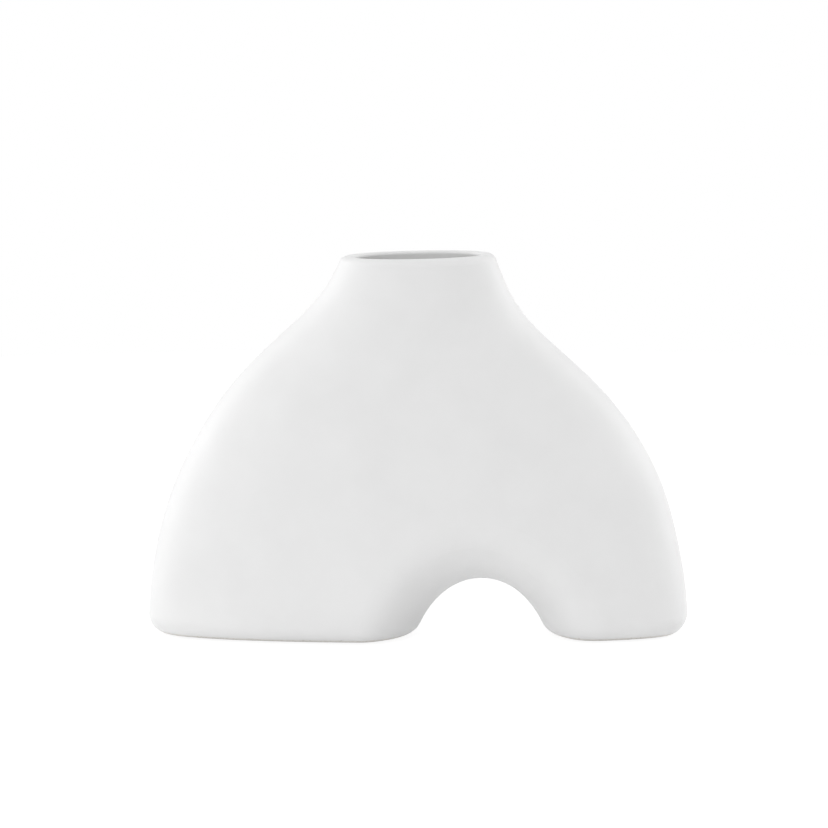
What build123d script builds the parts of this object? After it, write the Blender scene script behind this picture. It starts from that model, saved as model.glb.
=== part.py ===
"""Pillow vase: a slip-cast stoneware vessel that stands on two feet with an off-centre arch between them.

Sizes are in millimetres. +X runs along the long side towards the narrow foot, +Y to the back and +Z up.
The origin is on the table top, under the middle of the base.
"""
import os
from math import copysign, cos, hypot, pi, radians, sin

from build123d import *

# The vessel outside
body_length = 250.0
body_depth = 73.0
body_height = 176.2
mouth_length = 70.0
mouth_depth = 42.0
rim_rise = 1.5
base_round = 9.0

# The wall and the glaze that makes the inside watertight
wall = 6.0
leg_floor = 7.0
leg_floor_round = 8.0
glaze = 0.4
glaze_below_rim = 7.0

# The arch between the feet: a steep-sided curve, as wide as its spread where it starts below the foot.
# Its edge is a quarter of an oval that flares to the front and the back and rolls into the body's faces
arch_offset = 29.2
arch_spread = 66.6
arch_height = 26.0
arch_flare = 42.0
arch_roll = 20.0
flare_clearance = 3.0

# How far apart the arch's sides are held, as a share of its spread, and how much of the narrow foot may flare
arch_side_share = 0.743
flare_foot_share = 0.68

# The dry foot: a shallow recess inside a flat bare ring, with felt pads stuck in it
foot_ring = 3.5
recess_depth = 1.2
pad_diameter = 10.0
pad_thickness = 2.0
pad_edge_round = 0.5

# How far the lofts and cuts run past the foot, the rim and the faces before they are trimmed
overrun = 6.0

# The outline, row by row from the foot to the rim, as shares chosen by eye: height, left reach, right reach
# and depth, where 0 is the mouth's size and 1 the body's
outline_shares = [
    (0.000, 1.000, 1.000, 0.97),
    (0.114, 0.990, 0.988, 1.00),
    (0.257, 0.948, 0.940, 1.00),
    (0.400, 0.862, 0.858, 0.91),
    (0.526, 0.743, 0.731, 0.73),
    (0.640, 0.598, 0.560, 0.51),
    (0.743, 0.416, 0.350, 0.30),
    (0.834, 0.224, 0.166, 0.14),
    (0.914, 0.088, 0.068, 0.05),
    (1.000, 0.000, 0.000, 0.00),
]

# How much of the wall rounds the lip off, outside and inside
lip_round_shares = (0.62, 0.2)

# How square the plan is at the foot and at the rim, on the left end and on the right end
foot_squareness = (2.3, 2.8)
rim_squareness = (2.2, 2.2)
plan_points = 20
flare_turns = (-78, -52, -26, 0, 26, 52, 78)

# Where the pads sit, as shares of the room that the recess leaves them: along the foot from its left end,
# and across from its middle
wide_foot_pad_shares = [(0.22, -0.48), (0.22, 0.48), (0.80, -0.48), (0.80, 0.48)]
narrow_foot_pad_shares = [(0.40, -0.40), (0.40, 0.40)]

foot_z = pad_thickness - recess_depth
rim_z = foot_z + body_height
floor_z = foot_z + leg_floor
arch_left, arch_right = arch_offset - arch_spread / 2, arch_offset + arch_spread / 2
recess_inset = base_round + foot_ring

# The rim is not quite level: its right end stands a little higher than its left end
rim_plane = Plane((0, 0, rim_z), x_dir=(mouth_length, 0, rim_rise), z_dir=(-rim_rise, 0, mouth_length))


def outline_rows():
    """Height, left and right reach, half depth and end squareness of every row, run on past both ends."""
    rows = []
    for height, left, right, depth in outline_shares:
        reaches = [mouth_length / 2 + share * (body_length - mouth_length) / 2 for share in (left, right)]
        half_depth = mouth_depth / 2 + depth * (body_depth - mouth_depth) / 2
        square = [foot + height * (rim - foot) for foot, rim in zip(foot_squareness, rim_squareness)]
        rows.append([foot_z + height * body_height, *reaches, half_depth, square])
    low, high, below_high = rows[0], rows[-1], rows[-2]
    run = overrun / (high[0] - below_high[0])
    top = [high[i] + run * (high[i] - below_high[i]) for i in range(4)] + [high[4]]
    return [[low[0] - overrun, *low[1:]], *rows, top]


def plan_curve(reaches, square, draws):
    """Points of a rounded oblong whose ends differ in reach and squareness, drawn in along its normals."""
    points = []
    for i in range(plan_points):
        along, across = cos(2 * pi * i / plan_points), sin(2 * pi * i / plan_points)
        end = 1 if along > 0 else 0
        length, depth, power = reaches[end], reaches[2], 2 / square[end]
        slope = (abs(along) ** (2 - power) / length, abs(across) ** (2 - power) / depth)
        x = length * abs(along) ** power - draws[end] * slope[0] / hypot(*slope)
        y = depth * abs(across) ** power - draws[2] * slope[1] / hypot(*slope)
        points.append((copysign(x, along), copysign(y, across)))
    return points


def vessel(inset, bottom, bottom_round):
    """The vessel's form, drawn in all round by an inset, cut flat at a height and rounded along that cut."""
    rows = outline_rows()
    flare = min(arch_flare, flare_foot_share * (body_length / 2 - arch_right))
    leg_end = foot_z - 2 * overrun
    with BuildPart() as form:
        for k, (z, *reaches, square) in enumerate(rows):
            before, after = rows[max(k - 1, 0)], rows[min(k + 1, len(rows) - 1)]
            leans = [(after[i] - before[i]) / (after[0] - before[0]) for i in (1, 2, 3)]
            draws = [inset * hypot(1, lean) for lean in leans]
            with BuildSketch(Plane.XY.offset(z)):
                with BuildLine():
                    Spline(*plan_curve(reaches, square, draws), periodic=True)
                make_face()
        loft()
        for turn in flare_turns:
            y = (body_depth / 2 + flare_clearance - inset) * sin(radians(turn))
            grow = flare - (flare - inset) * cos(radians(turn))
            half, rise = arch_spread / 2 + grow, foot_z + arch_height + grow - leg_end
            with BuildSketch(Plane.XZ.offset(-y)):
                with BuildLine():
                    left, right = (arch_offset - half, leg_end), (arch_offset + half, leg_end)
                    held, held_z = arch_side_share * half, leg_end + 4 / 3 * rise
                    Bezier(left, (arch_offset - held, held_z), (arch_offset + held, held_z), right)
                    Line(right, left)
                make_face()
        loft(mode=Mode.SUBTRACT)
        crown = form.faces().sort_by_distance((arch_offset, 0, foot_z + arch_height + inset))[0]
        arch_edges = crown.edges().sort_by(lambda edge: abs(edge.position_at(0.5).Y))[-2:]
        fillet(arch_edges, radius=arch_roll - inset)
        split(bisect_by=Plane.XY.offset(bottom), keep=Keep.TOP)
        if bottom_round:
            fillet(form.faces().filter_by(Plane.XY).group_by(Axis.Z)[0].edges(), radius=bottom_round)
    return form.part


with BuildPart() as recess:
    add(vessel(recess_inset, foot_z - overrun / 2, 0))
    split(bisect_by=Plane.XY.offset(foot_z + recess_depth), keep=Keep.BOTTOM)

cavity = vessel(wall, floor_z, leg_floor_round)

with BuildPart() as stoneware_body:
    add(vessel(0, foot_z, base_round))
    split(bisect_by=rim_plane, keep=Keep.BOTTOM)
    add(cavity, mode=Mode.SUBTRACT)
    add(recess.part, mode=Mode.SUBTRACT)
    for share, place in zip(lip_round_shares, (-1, 0)):
        rim = stoneware_body.faces().filter_by(GeomType.PLANE).sort_by(Axis.Z)[-1]
        fillet(rim.edges().sort_by(SortBy.LENGTH)[place], radius=share * wall)

with BuildPart() as glaze_lining:
    add(cavity)
    add(vessel(wall + glaze, floor_z + glaze, leg_floor_round - glaze), mode=Mode.SUBTRACT)
    split(bisect_by=rim_plane.offset(-glaze_below_rim), keep=Keep.BOTTOM)


def felt_pad(x, y):
    """One round felt pad, stuck to the top of the recess and standing a little proud of the foot ring."""
    with BuildPart() as pad:
        with BuildSketch():
            with Locations((x, y)):
                Circle(pad_diameter / 2)
        extrude(amount=pad_thickness)
        fillet(pad.edges().group_by(Axis.Z)[0], radius=pad_edge_round)
    return pad.part


feet = {
    "wide_foot": (-body_length / 2, arch_left, wide_foot_pad_shares),
    "narrow_foot": (arch_right, body_length / 2, narrow_foot_pad_shares),
}
pad_inset = recess_inset + pad_diameter / 2
pieces = {"stoneware_body": stoneware_body.part, "glaze_lining": glaze_lining.part}
for foot, (left, right, pad_shares) in feet.items():
    for number, (along, across) in enumerate(pad_shares, 1):
        x = left + pad_inset + along * (right - left - 2 * pad_inset)
        y = across * (body_depth / 2 - pad_inset)
        pieces[f"{foot}_felt_pad_{number}"] = felt_pad(x, y)

os.makedirs("parts", exist_ok=True)
for name, piece in pieces.items():
    piece.label = name
    export_step(piece, f"parts/{name}.step")
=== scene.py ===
"""Pillow vase: the finish of its stoneware, the glaze inside it, its felt pads and a white studio round it.

Laid out as an add-on: each operator finishes one piece or group of pieces, and main() calls them in order.
Sizes are in metres, in the vase's own frame: +X towards the narrow foot, +Y to the back and +Z up.
"""
from math import radians

import bmesh
import bpy
from bpy.props import FloatProperty, FloatVectorProperty, IntProperty, PointerProperty
from bpy.types import Operator, Panel, PropertyGroup
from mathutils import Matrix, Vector


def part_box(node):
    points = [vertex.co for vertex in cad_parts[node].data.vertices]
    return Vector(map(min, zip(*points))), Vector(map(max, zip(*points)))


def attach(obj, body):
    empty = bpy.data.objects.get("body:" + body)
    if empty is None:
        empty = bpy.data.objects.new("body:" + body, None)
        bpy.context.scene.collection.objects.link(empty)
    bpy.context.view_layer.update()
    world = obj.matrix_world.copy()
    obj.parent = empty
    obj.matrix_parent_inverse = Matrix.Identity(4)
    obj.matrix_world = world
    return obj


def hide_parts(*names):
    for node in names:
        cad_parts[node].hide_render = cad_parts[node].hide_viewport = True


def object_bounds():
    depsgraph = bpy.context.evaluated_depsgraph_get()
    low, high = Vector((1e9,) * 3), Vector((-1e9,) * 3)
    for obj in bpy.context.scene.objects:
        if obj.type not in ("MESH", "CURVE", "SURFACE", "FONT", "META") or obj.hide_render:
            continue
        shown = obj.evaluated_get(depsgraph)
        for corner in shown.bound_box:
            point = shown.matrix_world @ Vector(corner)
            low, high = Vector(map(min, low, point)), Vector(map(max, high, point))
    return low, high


bl_info = {
    "name": "Pillow vase",
    "version": (1, 0, 0),
    "blender": (4, 5, 0),
    "location": "View3D > Sidebar > Vase",
    "description": "Finishes a stoneware pillow vase on its two feet and sets it in a white studio",
    "category": "Object",
}

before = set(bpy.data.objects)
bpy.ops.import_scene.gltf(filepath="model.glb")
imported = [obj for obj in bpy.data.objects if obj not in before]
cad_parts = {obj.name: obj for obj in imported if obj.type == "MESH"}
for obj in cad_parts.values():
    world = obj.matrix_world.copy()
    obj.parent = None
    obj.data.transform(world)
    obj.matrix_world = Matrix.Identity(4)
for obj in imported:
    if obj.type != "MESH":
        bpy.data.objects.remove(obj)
cad_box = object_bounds()

MM = 0.001
PAD_NODES = sorted(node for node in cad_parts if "felt_pad" in node)
SOFT_BOXES = ("window", "left_rim", "right_rim", "overhead", "front")

foot_ring_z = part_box("stoneware_body")[0].z
pad_low, pad_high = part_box(PAD_NODES[0])


def linear(hex_code):
    """The linear colour of an sRGB hex value."""
    channels = [int(hex_code[i:i + 2], 16) / 255 for i in (1, 3, 5)]
    return [c / 12.92 if c <= 0.04045 else ((c + 0.055) / 1.055) ** 2.4 for c in channels]


class StonewareProperties(PropertyGroup):
    """The vessel's matte glaze, and the bare clay that it stops short of at the foot."""

    glaze_colour: FloatVectorProperty(
        name="Glaze", description="Colour of the matte white glaze where it lies thick",
        subtype="COLOR", size=3, min=0.0, max=1.0, default=linear("#EAEAEA"))
    thin_glaze_colour: FloatVectorProperty(
        name="Thin glaze", description="Colour of the glaze where it lies thin and the clay greys it",
        subtype="COLOR", size=3, min=0.0, max=1.0, default=linear("#E7E7E7"))
    clay_colour: FloatVectorProperty(
        name="Bare clay", description="Colour of the fired clay on the foot",
        subtype="COLOR", size=3, min=0.0, max=1.0, default=linear("#E3E1DD"))
    grog_colour: FloatVectorProperty(
        name="Grog", description="Colour of the ground-up grit in the bare clay",
        subtype="COLOR", size=3, min=0.0, max=1.0, default=linear("#C9C4BC"))
    glaze_line: FloatProperty(
        name="Glaze line", description="Height above the foot ring at which the glaze stops",
        unit="LENGTH", default=1.7 * MM)
    line_wander: FloatProperty(
        name="Line wander", description="How far the glaze line wanders up and down",
        unit="LENGTH", default=0.5 * MM)
    cloud_size: FloatProperty(
        name="Cloud size", description="Width of the faint thick and thin patches in the glaze",
        unit="LENGTH", default=24 * MM)
    wave_size: FloatProperty(
        name="Wave size", description="Width of the low waves that sponging leaves on the casting",
        unit="LENGTH", default=11 * MM)
    wave_depth: FloatProperty(
        name="Wave depth", description="Depth of the low waves",
        unit="LENGTH", default=0.02 * MM)
    grain_size: FloatProperty(
        name="Grain size", description="Width of the matte grain, drawn coarser than real so that it shows",
        unit="LENGTH", default=0.7 * MM)
    grain_depth: FloatProperty(
        name="Grain depth", description="Depth of the fine grain",
        unit="LENGTH", default=0.012 * MM)
    grog_spacing: FloatProperty(
        name="Grog spacing", description="Distance between grains of grit in the bare clay",
        unit="LENGTH", default=1.6 * MM)


class LiningProperties(PropertyGroup):
    """The satin glaze that lines the vessel."""

    colour: FloatVectorProperty(
        name="Lining", description="Colour of the lining glaze over the white clay",
        subtype="COLOR", size=3, min=0.0, max=1.0, default=linear("#F0EFED"))
    pooled_colour: FloatVectorProperty(
        name="Pooled lining", description="Colour of the lining glaze where it pools",
        subtype="COLOR", size=3, min=0.0, max=1.0, default=linear("#E6E6E3"))
    cloud_size: FloatProperty(
        name="Cloud size", description="Width of the patches where the lining pools",
        unit="LENGTH", default=16 * MM)
    ripple_size: FloatProperty(
        name="Ripple size", description="Width of the ripples where the glaze was poured",
        unit="LENGTH", default=4 * MM)
    ripple_depth: FloatProperty(
        name="Ripple depth", description="Depth of the poured ripples",
        unit="LENGTH", default=0.015 * MM)


class FeltProperties(PropertyGroup):
    """The felt pads stuck in the recess of each foot."""

    wool_colour: FloatVectorProperty(
        name="Wool", description="Colour of the pressed wool",
        subtype="COLOR", size=3, min=0.0, max=1.0, default=linear("#D5D0C6"))
    # Painted shade: the darker colour that the felt is given in the gaps between its fibres.
    painted_gap_shade_colour: FloatVectorProperty(
        name="Wool shade", description="Colour between the fibres",
        subtype="COLOR", size=3, min=0.0, max=1.0, default=linear("#B4ADA0"))
    radius: FloatProperty(
        name="Radius", description="Radius of a pad",
        unit="LENGTH", default=(pad_high.x - pad_low.x) / 2)
    thickness: FloatProperty(
        name="Thickness", description="Thickness of a pad, from the table to the top of the recess",
        unit="LENGTH", default=pad_high.z - pad_low.z)
    segments: IntProperty(
        name="Segments", description="Sides of the disc that a pad starts from", default=40, min=12)
    edge_round: FloatProperty(
        name="Edge round", description="Radius of the pressed lower edge",
        unit="LENGTH", default=0.5 * MM)
    squeeze: FloatProperty(
        name="Squeeze", description="How far the side swells under the vase's weight",
        unit="LENGTH", default=0.12 * MM)
    fuzz_size: FloatProperty(
        name="Fuzz size", description="Width of the tufts that roughen the cut side",
        unit="LENGTH", default=0.6 * MM)
    fuzz_depth: FloatProperty(
        name="Fuzz depth", description="How far the tufts stand in and out",
        unit="LENGTH", default=0.12 * MM)
    fibre_size: FloatProperty(
        name="Fibre size",
        description="Width of the matted fibres, drawn about ten times as wide as wool so that they show",
        unit="LENGTH", default=0.35 * MM)
    side_cuts: IntProperty(
        name="Side cuts", description="Cuts that part the side into rows of faces", default=3, min=1)
    round_segments: IntProperty(
        name="Round segments", description="Rows of faces round the pressed lower edge", default=3, min=1)
    rings: IntProperty(
        name="Rings", description="Rings of faces inset into the flat top and bottom", default=3, min=1)
    smoothing: IntProperty(
        name="Smoothing", description="Times that the faces are parted before the tufts roughen them",
        default=2, min=1)
    turn_step: FloatProperty(
        name="Turn step", description="How far each pad is turned past the last, so that no two look alike",
        subtype="ANGLE", default=radians(61))


class StageProperties(PropertyGroup):
    """The floor, the lamps and the camera."""

    floor_radius: FloatProperty(
        name="Floor radius", description="Radius of the white floor", unit="LENGTH", default=1.0)
    floor_sides: IntProperty(
        name="Floor sides", description="Sides of the round floor", default=96, min=12)
    floor_colour: FloatVectorProperty(
        name="Floor", description="Colour of the floor, as it lights the vase from below",
        subtype="COLOR", size=3, min=0.0, max=1.0, default=linear("#F4F4F4"))
    floor_glow: FloatProperty(
        name="Floor glow", description="Light that comes up through the floor on to the vase", default=0.1)
    shadow_share: FloatProperty(
        name="Shadow share", description="How much of the vase's shadow shows on the white floor",
        subtype="FACTOR", min=0.0, max=1.0, default=0.2)
    ambient: FloatProperty(
        name="Ambient", description="Strength of the even light from all round", default=0.3)
    box_size: FloatProperty(
        name="Soft box size", description="Width of the square soft boxes", unit="LENGTH", default=1.2)
    window_place: FloatVectorProperty(
        name="Window", description="Place of the soft box in front on the left", subtype="TRANSLATION",
        unit="LENGTH", default=(-1.4, -1.6, 0.6))
    window_power: FloatProperty(
        name="Window power", description="Power of the front left soft box", unit="POWER", default=9.0)
    left_rim_place: FloatVectorProperty(
        name="Left rim", description="Place of the soft box on the left, a little behind",
        subtype="TRANSLATION", unit="LENGTH", default=(-1.6, 0.5, 0.7))
    left_rim_power: FloatProperty(
        name="Left rim power", description="Power of the left soft box", unit="POWER", default=14.3)
    right_rim_place: FloatVectorProperty(
        name="Right rim", description="Place of the soft box on the right, a little behind",
        subtype="TRANSLATION", unit="LENGTH", default=(1.6, 0.5, 0.7))
    right_rim_power: FloatProperty(
        name="Right rim power", description="Power of the right soft box", unit="POWER", default=15.6)
    overhead_place: FloatVectorProperty(
        name="Overhead", description="Place of the soft box over the vase", subtype="TRANSLATION",
        unit="LENGTH", default=(0.0, 0.0, 1.8))
    overhead_power: FloatProperty(
        name="Overhead power", description="Power of the overhead soft box", unit="POWER", default=3.8)
    front_place: FloatVectorProperty(
        name="Front", description="Place of the soft box high up in front", subtype="TRANSLATION",
        unit="LENGTH", default=(0.0, -1.3, 1.5))
    front_power: FloatProperty(
        name="Front power", description="Power of the high front soft box", unit="POWER", default=11.4)
    camera_place: FloatVectorProperty(
        name="Camera", description="Place of the camera", subtype="TRANSLATION",
        unit="LENGTH", default=(-0.002, -2.725, 0.495))
    camera_tilt: FloatProperty(
        name="Camera tilt", description="How far the camera looks down",
        subtype="ANGLE", default=radians(8.185))
    lens: FloatProperty(
        name="Lens", description="Focal length in millimetres on a 36 mm sensor", default=259.2)


def add_node(owner, kind, inputs=None, **settings):
    """Adds a node with its settings, and gives each input a constant or a link from another node."""
    tree = owner.node_tree
    node = tree.nodes.new(kind)
    for name, value in settings.items():
        setattr(node, name, value)
    for socket, value in (inputs or {}).items():
        if isinstance(value, bpy.types.NodeSocket):
            tree.links.new(value, node.inputs[socket])
        else:
            node.inputs[socket].default_value = value
    return node


def empty_material(name):
    """A new material with no nodes."""
    material = bpy.data.materials.new(name)
    material.use_nodes = True
    material.node_tree.nodes.clear()
    return material


def seen_directly(owner):
    """Adds nodes that give 1 for what the eye sees, mirrored or let through too, and 0 for other light."""
    path = add_node(owner, "ShaderNodeLightPath").outputs
    mirrored = add_node(owner, "ShaderNodeMath", {
        0: path["Is Glossy Ray"], 1: path["Is Transmission Ray"]}, operation="MAXIMUM").outputs["Value"]
    return add_node(owner, "ShaderNodeMath", {
        0: path["Is Camera Ray"], 1: mirrored}, operation="MAXIMUM").outputs["Value"]


def matte_white_glaze(props):
    """Slip-cast stoneware, sponged smooth and dipped in a matte white glaze.

    To the eye it is an even, chalky white with no sharp highlight. Faint clouds show where the glaze lies
    thick or thin. Below a slightly wandering line the foot is bare clay, warmer, rougher and full of grit.
    """
    material = empty_material("matte_white_glaze_on_stoneware")
    place = add_node(material, "ShaderNodeTexCoord").outputs["Object"]

    clouds = add_node(material, "ShaderNodeTexNoise", {
        "Vector": place, "Scale": 1 / props.cloud_size, "Detail": 3.0}).outputs["Fac"]
    grain = add_node(material, "ShaderNodeTexNoise", {
        "Vector": place, "Scale": 1 / props.grain_size, "Detail": 2.0}).outputs["Fac"]
    waves = add_node(material, "ShaderNodeTexNoise", {
        "Vector": place, "Scale": 1 / props.wave_size, "Detail": 1.0}).outputs["Fac"]
    grog = add_node(material, "ShaderNodeTexVoronoi", {
        "Vector": place, "Scale": 1 / props.grog_spacing}).outputs["Distance"]

    height = add_node(material, "ShaderNodeSeparateXYZ", {"Vector": place}).outputs["Z"]
    wandering = add_node(material, "ShaderNodeMath", {
        0: waves, 1: props.line_wander, 2: height}, operation="MULTIPLY_ADD").outputs["Value"]
    line = foot_ring_z + props.glaze_line + props.line_wander / 2
    glazed = add_node(material, "ShaderNodeMapRange", {
        "Value": wandering,
        "From Min": line - props.line_wander / 4, "From Max": line + props.line_wander / 4,
    }, interpolation_type="SMOOTHSTEP").outputs["Result"]

    glaze = add_node(material, "ShaderNodeValToRGB", {"Fac": clouds})
    glaze.color_ramp.elements[0].position, glaze.color_ramp.elements[1].position = 0.3, 0.7
    glaze.color_ramp.elements[0].color = [*props.thin_glaze_colour, 1.0]
    glaze.color_ramp.elements[1].color = [*props.glaze_colour, 1.0]
    clay = add_node(material, "ShaderNodeValToRGB", {"Fac": grog})
    clay.color_ramp.elements[0].position, clay.color_ramp.elements[1].position = 0.12, 0.3
    clay.color_ramp.elements[0].color = [*props.grog_colour, 1.0]
    clay.color_ramp.elements[1].color = [*props.clay_colour, 1.0]
    colour = add_node(material, "ShaderNodeMixRGB", {
        "Fac": glazed, "Color1": clay.outputs["Color"], "Color2": glaze.outputs["Color"]}).outputs["Color"]
    roughness = add_node(material, "ShaderNodeMapRange", {
        "Value": glazed, "To Min": 0.9, "To Max": 0.6}).outputs["Result"]

    waved = add_node(material, "ShaderNodeBump", {
        "Height": waves, "Distance": props.wave_depth}).outputs["Normal"]
    grained = add_node(material, "ShaderNodeBump", {
        "Height": grain, "Distance": props.grain_depth, "Normal": waved}).outputs["Normal"]
    surface = add_node(material, "ShaderNodeBsdfPrincipled", {
        "Base Color": colour, "Roughness": roughness, "Normal": grained, "IOR": 1.5}).outputs["BSDF"]
    add_node(material, "ShaderNodeOutputMaterial", {"Surface": surface})
    return material


def satin_lining_glaze(props):
    """A clear satin glaze poured round the inside of the vessel and tipped out.

    To the eye it is the clay's white again but glossier, with soft ripples, and greyer where it pools.
    """
    material = empty_material("satin_lining_glaze")
    place = add_node(material, "ShaderNodeTexCoord").outputs["Object"]
    clouds = add_node(material, "ShaderNodeTexNoise", {
        "Vector": place, "Scale": 1 / props.cloud_size, "Detail": 3.0}).outputs["Fac"]
    ripples = add_node(material, "ShaderNodeTexNoise", {
        "Vector": place, "Scale": 1 / props.ripple_size, "Detail": 1.0}).outputs["Fac"]
    colour = add_node(material, "ShaderNodeMixRGB", {
        "Fac": clouds, "Color1": [*props.pooled_colour, 1.0], "Color2": [*props.colour, 1.0],
    }).outputs["Color"]
    rippled = add_node(material, "ShaderNodeBump", {
        "Height": ripples, "Distance": props.ripple_depth}).outputs["Normal"]
    surface = add_node(material, "ShaderNodeBsdfPrincipled", {
        "Base Color": colour, "Roughness": 0.3, "Normal": rippled, "IOR": 1.52}).outputs["BSDF"]
    add_node(material, "ShaderNodeOutputMaterial", {"Surface": surface})
    return material


def pressed_wool_felt(props):
    """Wool felt, pressed into a sheet and punched into discs.

    To the eye it is soft and dull, with matted fibres that run every way, and a bloom of loose wool that
    catches light at a low angle. Its colour holds painted shade: the noise that raises the fibres also
    colours them, darker in the gaps between them and paler on their tops.
    """
    material = empty_material("pressed_wool_felt")
    place = add_node(material, "ShaderNodeTexCoord").outputs["Object"]
    fibres = add_node(material, "ShaderNodeTexNoise", {
        "Vector": place, "Scale": 1 / props.fibre_size, "Detail": 4.0, "Distortion": 2.5}).outputs["Fac"]
    # Painted shade: the colour follows the fibre height, darker in the gaps between fibres and paler on
    # their tops.
    colour = add_node(material, "ShaderNodeMixRGB", {
        "Fac": fibres, "Color1": [*props.painted_gap_shade_colour, 1.0], "Color2": [*props.wool_colour, 1.0],
    }).outputs["Color"]
    matted = add_node(material, "ShaderNodeBump", {
        "Height": fibres, "Distance": props.fibre_size / 2}).outputs["Normal"]
    surface = add_node(material, "ShaderNodeBsdfPrincipled", {
        "Base Color": colour, "Roughness": 1.0, "Normal": matted,
        "Sheen Weight": 0.4, "Sheen Roughness": 0.5}).outputs["BSDF"]
    add_node(material, "ShaderNodeOutputMaterial", {"Surface": surface})
    return material


def white_acrylic_table(props):
    """Matte white acrylic, lit a little from below.

    It lights the vase's underside softly. Seen straight on it is white, with a faint shadow under the feet.
    """
    material = empty_material("white_acrylic_table")
    share = props.shadow_share
    acrylic = add_node(material, "ShaderNodeBsdfDiffuse", {
        "Color": [*props.floor_colour, 1.0]}).outputs["BSDF"]
    glow = add_node(material, "ShaderNodeEmission", {"Strength": props.floor_glow}).outputs["Emission"]
    lit = add_node(material, "ShaderNodeAddShader", {0: acrylic, 1: glow}).outputs["Shader"]
    white = add_node(material, "ShaderNodeEmission", {"Strength": 1 - share / 2}).outputs["Emission"]
    shadowed = add_node(material, "ShaderNodeBsdfDiffuse", {
        "Color": [share, share, share, 1.0]}).outputs["BSDF"]
    shown = add_node(material, "ShaderNodeAddShader", {0: white, 1: shadowed}).outputs["Shader"]
    surface = add_node(material, "ShaderNodeMixShader", {
        "Fac": seen_directly(material), 1: lit, 2: shown}).outputs["Shader"]
    add_node(material, "ShaderNodeOutputMaterial", {"Surface": surface})
    return material


def white_room(props):
    """A world that is white to the eye and gives an even, weaker light."""
    world = bpy.data.worlds.new("white_room")
    world.use_nodes = True
    world.node_tree.nodes.clear()
    strength = add_node(world, "ShaderNodeMapRange", {
        "Value": seen_directly(world), "To Min": props.ambient, "To Max": 1.0}).outputs["Result"]
    background = add_node(world, "ShaderNodeBackground", {
        "Color": [1.0, 1.0, 1.0, 1.0], "Strength": strength}).outputs["Background"]
    add_node(world, "ShaderNodeOutputWorld", {"Surface": background})
    return world


def paint(node, material):
    """Gives a node of the frame its finish."""
    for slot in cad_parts[node].material_slots:
        slot.material = material


class VASE_OT_stoneware_body(Operator):
    """Finish the vessel in matte white glaze, with bare clay on its feet"""

    bl_idname = "vase.stoneware_body"
    bl_label = "Stoneware body"

    def execute(self, context):
        paint("stoneware_body", matte_white_glaze(context.scene.vase_stoneware))
        return {"FINISHED"}


class VASE_OT_glaze_lining(Operator):
    """Finish the lining in satin glaze"""

    bl_idname = "vase.glaze_lining"
    bl_label = "Glaze lining"

    def execute(self, context):
        paint("glaze_lining", satin_lining_glaze(context.scene.vase_lining))
        return {"FINISHED"}


def select_where(kind, test):
    """In edit mode, selects the edges or the faces that pass a test, and nothing else."""
    bpy.ops.mesh.select_mode(type=kind)
    bpy.ops.mesh.select_all(action="DESELECT")
    mesh = bmesh.from_edit_mesh(bpy.context.object.data)
    for element in mesh.edges if kind == "EDGE" else mesh.faces:
        element.select_set(test(element))
    bmesh.update_edit_mesh(bpy.context.object.data)


def apply_modifier(kind, **settings):
    """Adds a modifier to the active object and applies it."""
    modifier = bpy.context.object.modifiers.new(kind.title(), kind)
    for name, value in settings.items():
        setattr(modifier, name, value)
    bpy.ops.object.modifier_apply(modifier=modifier.name)


def model_felt_disc(props):
    """One felt pad over the origin: a punched disc, rounded below, that swells and roughens at its side."""
    middle = props.thickness / 2
    half_row = middle / (props.side_cuts + 1)
    bpy.ops.object.select_all(action="DESELECT")
    bpy.ops.mesh.primitive_cylinder_add(
        vertices=props.segments, radius=props.radius - props.squeeze - props.fuzz_depth / 2,
        depth=props.thickness - props.fuzz_depth, location=(0, 0, middle))
    bpy.ops.object.transform_apply(location=True, rotation=True, scale=True)
    bpy.ops.object.mode_set(mode="EDIT")

    select_where("EDGE", lambda edge: abs(edge.verts[0].co.z - edge.verts[1].co.z) > middle)
    bpy.ops.mesh.subdivide(number_cuts=props.side_cuts)
    select_where("EDGE", lambda edge: max(vert.co.z for vert in edge.verts) < half_row)
    bpy.ops.mesh.bevel(offset=props.edge_round, segments=props.round_segments, affect="EDGES")

    select_where("FACE", lambda face: abs(face.normal.z) > 0.99)
    for _ in range(props.rings):
        bpy.ops.mesh.inset(thickness=props.radius / (props.rings + 2))

    select_where("EDGE", lambda edge: all(abs(vert.co.z - middle) < half_row for vert in edge.verts))
    swell = 1 + props.squeeze / props.radius
    bpy.ops.transform.resize(value=(swell, swell, 1), center_override=(0, 0, middle))
    bpy.ops.object.mode_set(mode="OBJECT")

    tufts = bpy.data.textures.new("wool_tufts", type="CLOUDS")
    tufts.noise_scale = props.fuzz_size
    apply_modifier("SUBSURF", levels=props.smoothing, render_levels=props.smoothing)
    apply_modifier("DISPLACE", texture=tufts, texture_coords="LOCAL", strength=props.fuzz_depth)
    bpy.ops.object.shade_smooth()
    return bpy.context.object


class VASE_OT_felt_pads(Operator):
    """Model one felt pad and stick a copy of it in each place under the feet"""

    bl_idname = "vase.felt_pads"
    bl_label = "Felt pads"

    def execute(self, context):
        props = context.scene.vase_felt
        disc = model_felt_disc(props)
        disc.data.materials.append(pressed_wool_felt(props))
        for number, node in enumerate(PAD_NODES):
            low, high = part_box(node)
            centre = (low + high) / 2
            pad = disc.copy()
            pad.data = disc.data.copy()
            pad.name = pad.data.name = f"pressed_{node}"
            context.collection.objects.link(pad)
            bpy.ops.object.select_all(action="DESELECT")
            pad.select_set(True)
            context.view_layer.objects.active = pad
            bpy.ops.transform.rotate(
                value=number * props.turn_step, orient_axis="Z", center_override=(0, 0, 0))
            bpy.ops.transform.translate(value=(centre.x, centre.y, low.z))
            bpy.ops.object.transform_apply(location=True, rotation=True, scale=True)
            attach(pad, "root")
            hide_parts(node)
        bpy.data.objects.remove(disc)
        return {"FINISHED"}


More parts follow.
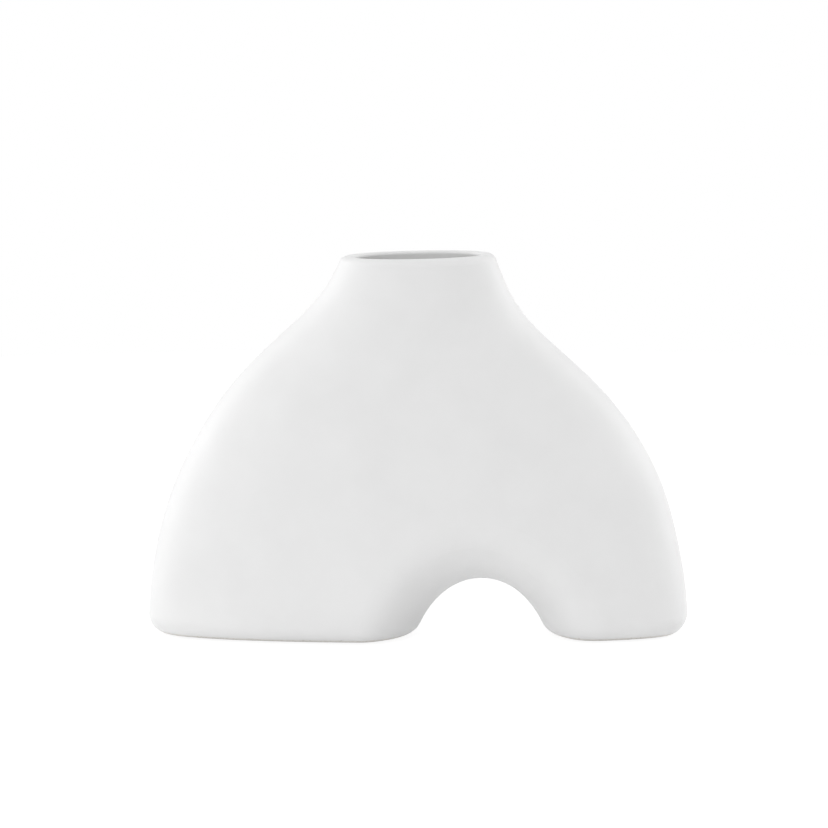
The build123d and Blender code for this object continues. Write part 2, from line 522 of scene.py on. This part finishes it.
def add_soft_box(name, place, size, power, target):
    """A square lamp that faces the target and isn't itself seen."""
    towards = Vector(target) - Vector(place)
    bpy.ops.object.light_add(
        type="AREA", location=place, rotation=towards.to_track_quat("-Z", "Y").to_euler())
    lamp = bpy.context.object
    lamp.name = lamp.data.name = name
    lamp.data.shape, lamp.data.size, lamp.data.energy = "SQUARE", size, power
    lamp.visible_camera = False


class VASE_OT_stage(Operator):
    """Set the vase on a white floor, with soft boxes and a camera"""

    bl_idname = "vase.stage"
    bl_label = "Studio"

    def execute(self, context):
        props = context.scene.vase_stage
        middle = (cad_box[0] + cad_box[1]) / 2
        bpy.ops.object.select_all(action="DESELECT")
        bpy.ops.mesh.primitive_circle_add(
            vertices=props.floor_sides, radius=props.floor_radius, fill_type="NGON")
        floor = context.object
        floor.name = floor.data.name = "studio_floor"
        floor.data.materials.append(white_acrylic_table(props))

        for name in SOFT_BOXES:
            place, power = getattr(props, f"{name}_place"), getattr(props, f"{name}_power")
            add_soft_box(name, place, props.box_size, power, middle)
        context.scene.world = white_room(props)
        context.scene.view_settings.view_transform = "Standard"

        bpy.ops.object.camera_add(
            location=props.camera_place, rotation=(radians(90) - props.camera_tilt, 0, 0))
        camera = context.object
        camera.name = camera.data.name = "product_camera"
        camera.data.lens = props.lens
        context.scene.camera = camera
        return {"FINISHED"}


class VASE_PT_pieces(Panel):
    """The vase's pieces, in the order in which they are finished"""

    bl_label = "Pillow vase"
    bl_idname = "VASE_PT_pieces"
    bl_space_type = "VIEW_3D"
    bl_region_type = "UI"
    bl_category = "Vase"

    def draw(self, context):
        for operator, group in PIECES.items():
            self.layout.operator(operator)
            props = getattr(context.scene, group)
            for name in props.__annotations__:
                self.layout.prop(props, name)


PIECES = {
    "vase.stoneware_body": "vase_stoneware",
    "vase.glaze_lining": "vase_lining",
    "vase.felt_pads": "vase_felt",
    "vase.stage": "vase_stage",
}
GROUPS = {
    "vase_stoneware": StonewareProperties,
    "vase_lining": LiningProperties,
    "vase_felt": FeltProperties,
    "vase_stage": StageProperties,
}
CLASSES = [
    *GROUPS.values(),
    VASE_OT_stoneware_body, VASE_OT_glaze_lining, VASE_OT_felt_pads, VASE_OT_stage,
    VASE_PT_pieces,
]


def register():
    for cls in CLASSES:
        bpy.utils.register_class(cls)
    for name, group in GROUPS.items():
        setattr(bpy.types.Scene, name, PointerProperty(type=group))


def unregister():
    for name in GROUPS:
        delattr(bpy.types.Scene, name)
    for cls in reversed(CLASSES):
        bpy.utils.unregister_class(cls)


def main():
    register()
    bpy.ops.vase.stoneware_body()
    bpy.ops.vase.glaze_lining()
    bpy.ops.vase.felt_pads()
    bpy.ops.vase.stage()


if __name__ == "__main__":
    main()
